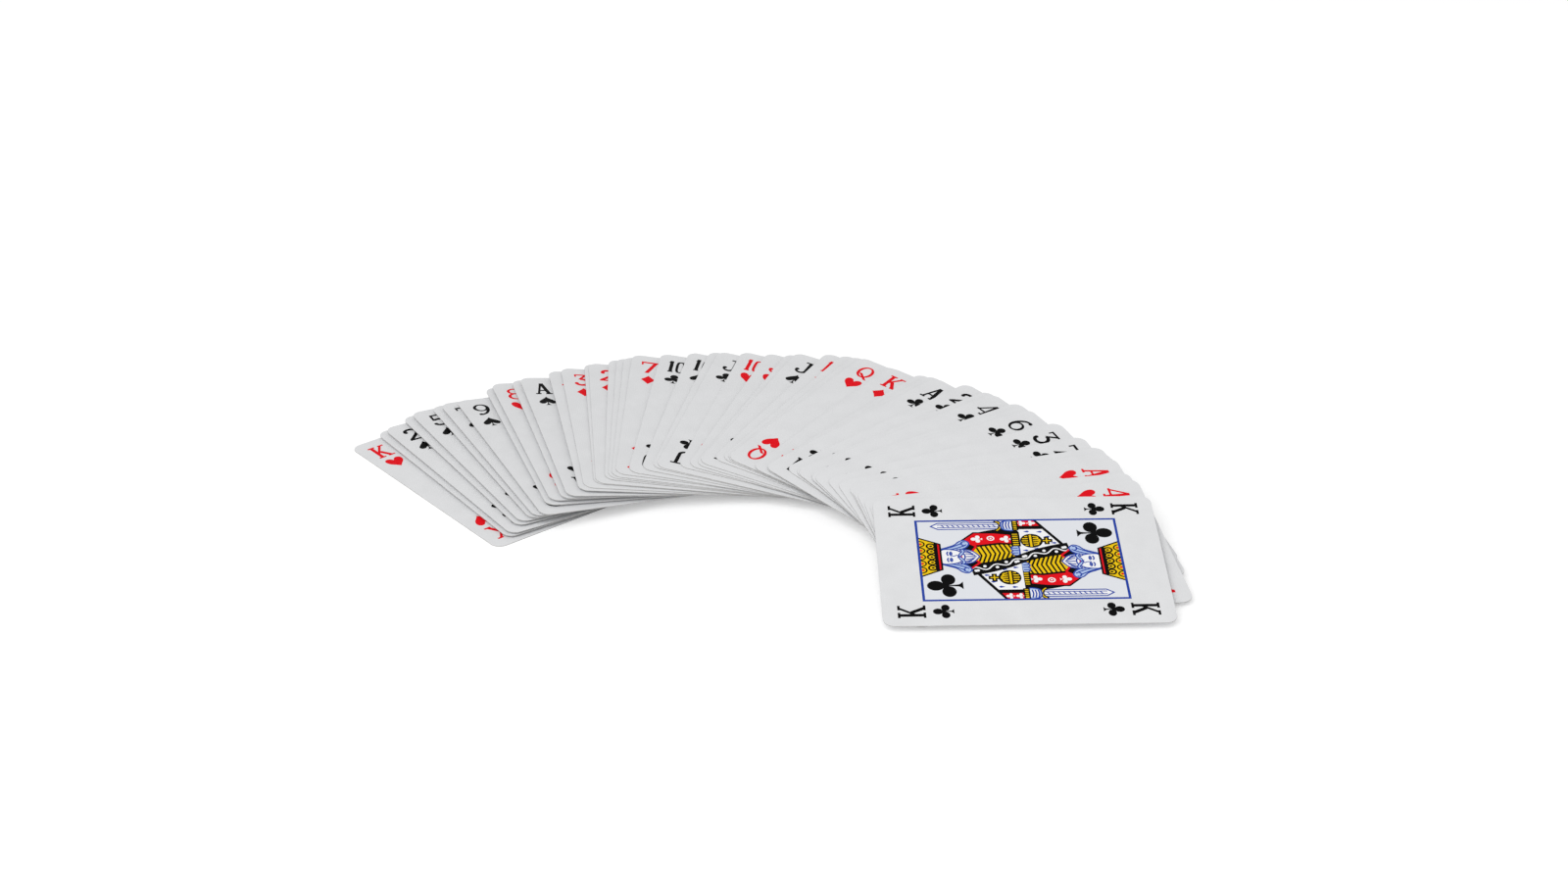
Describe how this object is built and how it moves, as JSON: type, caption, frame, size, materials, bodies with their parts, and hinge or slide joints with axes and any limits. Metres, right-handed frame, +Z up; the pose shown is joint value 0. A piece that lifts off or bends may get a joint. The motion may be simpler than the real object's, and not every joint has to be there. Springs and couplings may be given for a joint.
{
  "type": "playing card deck",
  "caption": "Deck of poker-size playing cards spread face up over a table in one arc, each card lying on the one before it and free to be drawn out along its length.",
  "frame": {"origin": "centre of the spread's outline, on the table that it lies on", "axes": "+X along the row, from its bottom card at the left to its top card at the right, +Y away from the viewer, towards the crown of the arc, +Z up"},
  "size_m": [0.2682, 0.1708, 0.0119],
  "materials": {
    "card_stock": "satin"
  },
  "bodies": {
    "king_of_hearts": {"king_of_hearts": "card_stock"},
    "three_of_spades": {"three_of_spades": "card_stock"},
    "two_of_spades": {"two_of_spades": "card_stock"},
    "four_of_spades": {"four_of_spades": "card_stock"},
    "five_of_spades": {"five_of_spades": "card_stock"},
    "six_of_spades": {"six_of_spades": "card_stock"},
    "seven_of_spades": {"seven_of_spades": "card_stock"},
    "nine_of_spades": {"nine_of_spades": "card_stock"},
    "eight_of_spades": {"eight_of_spades": "card_stock"},
    "eight_of_hearts": {"eight_of_hearts": "card_stock"},
    "nine_of_hearts": {"nine_of_hearts": "card_stock"},
    "ace_of_spades": {"ace_of_spades": "card_stock"},
    "four_of_diamonds": {"four_of_diamonds": "card_stock"},
    "three_of_diamonds": {"three_of_diamonds": "card_stock"},
    "ace_of_diamonds": {"ace_of_diamonds": "card_stock"},
    "two_of_diamonds": {"two_of_diamonds": "card_stock"},
    "five_of_diamonds": {"five_of_diamonds": "card_stock"},
    "six_of_diamonds": {"six_of_diamonds": "card_stock"},
    "seven_of_hearts": {"seven_of_hearts": "card_stock"},
    "seven_of_diamonds": {"seven_of_diamonds": "card_stock"},
    "ten_of_clubs": {"ten_of_clubs": "card_stock"},
    "ten_of_spades": {"ten_of_spades": "card_stock"},
    "king_of_spades": {"king_of_spades": "card_stock"},
    "jack_of_clubs": {"jack_of_clubs": "card_stock"},
    "ten_of_hearts": {"ten_of_hearts": "card_stock"},
    "jack_of_hearts": {"jack_of_hearts": "card_stock"},
    "nine_of_diamonds": {"nine_of_diamonds": "card_stock"},
    "jack_of_spades": {"jack_of_spades": "card_stock"},
    "ten_of_diamonds": {"ten_of_diamonds": "card_stock"},
    "eight_of_diamonds": {"eight_of_diamonds": "card_stock"},
    "six_of_hearts": {"six_of_hearts": "card_stock"},
    "queen_of_hearts": {"queen_of_hearts": "card_stock"},
    "jack_of_diamonds": {"jack_of_diamonds": "card_stock"},
    "king_of_diamonds": {"king_of_diamonds": "card_stock"},
    "queen_of_diamonds": {"queen_of_diamonds": "card_stock"},
    "queen_of_clubs": {"queen_of_clubs": "card_stock"},
    "ace_of_clubs": {"ace_of_clubs": "card_stock"},
    "two_of_clubs": {"two_of_clubs": "card_stock"},
    "eight_of_clubs": {"eight_of_clubs": "card_stock"},
    "four_of_clubs": {"four_of_clubs": "card_stock"},
    "five_of_clubs": {"five_of_clubs": "card_stock"},
    "nine_of_clubs": {"nine_of_clubs": "card_stock"},
    "six_of_clubs": {"six_of_clubs": "card_stock"},
    "three_of_clubs": {"three_of_clubs": "card_stock"},
    "seven_of_clubs": {"seven_of_clubs": "card_stock"},
    "queen_of_spades": {"queen_of_spades": "card_stock"},
    "five_of_hearts": {"five_of_hearts": "card_stock"},
    "two_of_hearts": {"two_of_hearts": "card_stock"},
    "ace_of_hearts": {"ace_of_hearts": "card_stock"},
    "three_of_hearts": {"three_of_hearts": "card_stock"},
    "four_of_hearts": {"four_of_hearts": "card_stock"},
    "king_of_clubs": {"king_of_clubs": "card_stock"}
  },
  "joints": [
    {"name": "king_of_clubs_draw", "type": "slide", "parent": "king_of_hearts", "child": "king_of_clubs", "axis": [0.9997, 0.0262, 0], "range_m": [0, 0.095]},
    {"name": "queen_of_hearts_draw", "type": "slide", "parent": "king_of_hearts", "child": "queen_of_hearts", "axis": [0.523, 0.8523, 0], "range_m": [0, 0.095]},
    {"name": "ace_of_clubs_draw", "type": "slide", "parent": "king_of_hearts", "child": "ace_of_clubs", "axis": [0.6688, 0.7434, 0], "range_m": [0, 0.095]},
    {"name": "jack_of_spades_draw", "type": "slide", "parent": "king_of_hearts", "child": "jack_of_spades", "axis": [0.3679, 0.9299, 0], "range_m": [0, 0.095]},
    {"name": "king_of_diamonds_draw", "type": "slide", "parent": "king_of_hearts", "child": "king_of_diamonds", "axis": [0.5395, 0.842, 0], "range_m": [0, 0.095]},
    {"name": "two_of_clubs_draw", "type": "slide", "parent": "king_of_hearts", "child": "two_of_clubs", "axis": [0.7107, 0.7035, 0], "range_m": [0, 0.095]},
    {"name": "three_of_diamonds_draw", "type": "slide", "parent": "king_of_hearts", "child": "three_of_diamonds", "axis": [-0.1598, 0.9871, 0], "range_m": [0, 0.095]},
    {"name": "ace_of_spades_draw", "type": "slide", "parent": "king_of_hearts", "child": "ace_of_spades", "axis": [-0.2608, 0.9654, 0], "range_m": [0, 0.095]},
    {"name": "nine_of_spades_draw", "type": "slide", "parent": "king_of_hearts", "child": "nine_of_spades", "axis": [-0.4123, 0.9111, 0], "range_m": [0, 0.095]},
    {"name": "seven_of_clubs_draw", "type": "slide", "parent": "king_of_hearts", "child": "seven_of_clubs", "axis": [0.9327, 0.3607, 0], "range_m": [0, 0.095]},
    {"name": "ten_of_hearts_draw", "type": "slide", "parent": "king_of_hearts", "child": "ten_of_hearts", "axis": [0.223, 0.9748, 0], "range_m": [0, 0.095]},
    {"name": "jack_of_clubs_draw", "type": "slide", "parent": "king_of_hearts", "child": "jack_of_clubs", "axis": [0.2143, 0.9768, 0], "range_m": [0, 0.095]},
    {"name": "queen_of_spades_draw", "type": "slide", "parent": "king_of_hearts", "child": "queen_of_spades", "axis": [0.9516, 0.3075, 0], "range_m": [0, 0.095]},
    {"name": "king_of_spades_draw", "type": "slide", "parent": "king_of_hearts", "child": "king_of_spades", "axis": [0.1937, 0.9811, 0], "range_m": [0, 0.095]},
    {"name": "queen_of_diamonds_draw", "type": "slide", "parent": "king_of_hearts", "child": "queen_of_diamonds", "axis": [0.6124, 0.7905, 0], "range_m": [0, 0.095]},
    {"name": "three_of_spades_draw", "type": "slide", "parent": "king_of_hearts", "child": "three_of_spades", "axis": [-0.5828, 0.8126, 0], "range_m": [0, 0.095]},
    {"name": "two_of_spades_draw", "type": "slide", "parent": "king_of_hearts", "child": "two_of_spades", "axis": [-0.5676, 0.8233, 0], "range_m": [0, 0.095]},
    {"name": "four_of_spades_draw", "type": "slide", "parent": "king_of_hearts", "child": "four_of_spades", "axis": [-0.5242, 0.8516, 0], "range_m": [0, 0.095]},
    {"name": "five_of_spades_draw", "type": "slide", "parent": "king_of_hearts", "child": "five_of_spades", "axis": [-0.5053, 0.863, 0], "range_m": [0, 0.095]},
    {"name": "six_of_spades_draw", "type": "slide", "parent": "king_of_hearts", "child": "six_of_spades", "axis": [-0.463, 0.8864, 0], "range_m": [0, 0.095]},
    {"name": "seven_of_spades_draw", "type": "slide", "parent": "king_of_hearts", "child": "seven_of_spades", "axis": [-0.4449, 0.8956, 0], "range_m": [0, 0.095]},
    {"name": "eight_of_spades_draw", "type": "slide", "parent": "king_of_hearts", "child": "eight_of_spades", "axis": [-0.3195, 0.9476, 0], "range_m": [0, 0.095]},
    {"name": "eight_of_hearts_draw", "type": "slide", "parent": "king_of_hearts", "child": "eight_of_hearts", "axis": [-0.3112, 0.9503, 0], "range_m": [0, 0.095]},
    {"name": "nine_of_hearts_draw", "type": "slide", "parent": "king_of_hearts", "child": "nine_of_hearts", "axis": [-0.2726, 0.9621, 0], "range_m": [0, 0.095]},
    {"name": "four_of_diamonds_draw", "type": "slide", "parent": "king_of_hearts", "child": "four_of_diamonds", "axis": [-0.1909, 0.9816, 0], "range_m": [0, 0.095]},
    {"name": "ace_of_diamonds_draw", "type": "slide", "parent": "king_of_hearts", "child": "ace_of_diamonds", "axis": [-0.1026, 0.9947, 0], "range_m": [0, 0.095]},
    {"name": "two_of_diamonds_draw", "type": "slide", "parent": "king_of_hearts", "child": "two_of_diamonds", "axis": [-0.0921, 0.9957, 0], "range_m": [0, 0.095]},
    {"name": "five_of_diamonds_draw", "type": "slide", "parent": "king_of_hearts", "child": "five_of_diamonds", "axis": [-0.0432, 0.9991, 0], "range_m": [0, 0.095]},
    {"name": "six_of_diamonds_draw", "type": "slide", "parent": "king_of_hearts", "child": "six_of_diamonds", "axis": [-0.0239, 0.9997, 0], "range_m": [0, 0.095]},
    {"name": "seven_of_hearts_draw", "type": "slide", "parent": "king_of_hearts", "child": "seven_of_hearts", "axis": [-0.0064, 1, 0], "range_m": [0, 0.095]},
    {"name": "seven_of_diamonds_draw", "type": "slide", "parent": "king_of_hearts", "child": "seven_of_diamonds", "axis": [0.0128, 0.9999, 0], "range_m": [0, 0.095]},
    {"name": "ten_of_clubs_draw", "type": "slide", "parent": "king_of_hearts", "child": "ten_of_clubs", "axis": [0.081, 0.9967, 0], "range_m": [0, 0.095]},
    {"name": "ten_of_spades_draw", "type": "slide", "parent": "king_of_hearts", "child": "ten_of_spades", "axis": [0.1454, 0.9894, 0], "range_m": [0, 0.095]},
    {"name": "jack_of_hearts_draw", "type": "slide", "parent": "king_of_hearts", "child": "jack_of_hearts", "axis": [0.2894, 0.9572, 0], "range_m": [0, 0.095]},
    {"name": "nine_of_diamonds_draw", "type": "slide", "parent": "king_of_hearts", "child": "nine_of_diamonds", "axis": [0.3413, 0.94, 0], "range_m": [0, 0.095]},
    {"name": "ten_of_diamonds_draw", "type": "slide", "parent": "king_of_hearts", "child": "ten_of_diamonds", "axis": [0.4356, 0.9002, 0], "range_m": [0, 0.095]},
    {"name": "eight_of_diamonds_draw", "type": "slide", "parent": "king_of_hearts", "child": "eight_of_diamonds", "axis": [0.4722, 0.8815, 0], "range_m": [0, 0.095]},
    {"name": "six_of_hearts_draw", "type": "slide", "parent": "king_of_hearts", "child": "six_of_hearts", "axis": [0.496, 0.8683, 0], "range_m": [0, 0.095]},
    {"name": "jack_of_diamonds_draw", "type": "slide", "parent": "king_of_hearts", "child": "jack_of_diamonds", "axis": [0.5247, 0.8513, 0], "range_m": [0, 0.095]},
    {"name": "queen_of_clubs_draw", "type": "slide", "parent": "king_of_hearts", "child": "queen_of_clubs", "axis": [0.6424, 0.7664, 0], "range_m": [0, 0.095]},
    {"name": "eight_of_clubs_draw", "type": "slide", "parent": "king_of_hearts", "child": "eight_of_clubs", "axis": [0.7524, 0.6587, 0], "range_m": [0, 0.095]},
    {"name": "four_of_clubs_draw", "type": "slide", "parent": "king_of_hearts", "child": "four_of_clubs", "axis": [0.7705, 0.6374, 0], "range_m": [0, 0.095]},
    {"name": "five_of_clubs_draw", "type": "slide", "parent": "king_of_hearts", "child": "five_of_clubs", "axis": [0.8143, 0.5805, 0], "range_m": [0, 0.095]},
    {"name": "nine_of_clubs_draw", "type": "slide", "parent": "king_of_hearts", "child": "nine_of_clubs", "axis": [0.8263, 0.5632, 0], "range_m": [0, 0.095]},
    {"name": "six_of_clubs_draw", "type": "slide", "parent": "king_of_hearts", "child": "six_of_clubs", "axis": [0.8389, 0.5443, 0], "range_m": [0, 0.095]},
    {"name": "three_of_clubs_draw", "type": "slide", "parent": "king_of_hearts", "child": "three_of_clubs", "axis": [0.8917, 0.4526, 0], "range_m": [0, 0.095]},
    {"name": "five_of_hearts_draw", "type": "slide", "parent": "king_of_hearts", "child": "five_of_hearts", "axis": [0.9599, 0.2803, 0], "range_m": [0, 0.095]},
    {"name": "two_of_hearts_draw", "type": "slide", "parent": "king_of_hearts", "child": "two_of_hearts", "axis": [0.9625, 0.2714, 0], "range_m": [0, 0.095]},
    {"name": "ace_of_hearts_draw", "type": "slide", "parent": "king_of_hearts", "child": "ace_of_hearts", "axis": [0.9654, 0.2608, 0], "range_m": [0, 0.095]},
    {"name": "three_of_hearts_draw", "type": "slide", "parent": "king_of_hearts", "child": "three_of_hearts", "axis": [0.9796, 0.2008, 0], "range_m": [0, 0.095]},
    {"name": "four_of_hearts_draw", "type": "slide", "parent": "king_of_hearts", "child": "four_of_hearts", "axis": [0.9847, 0.1745, 0], "range_m": [0, 0.095]}
  ]
}
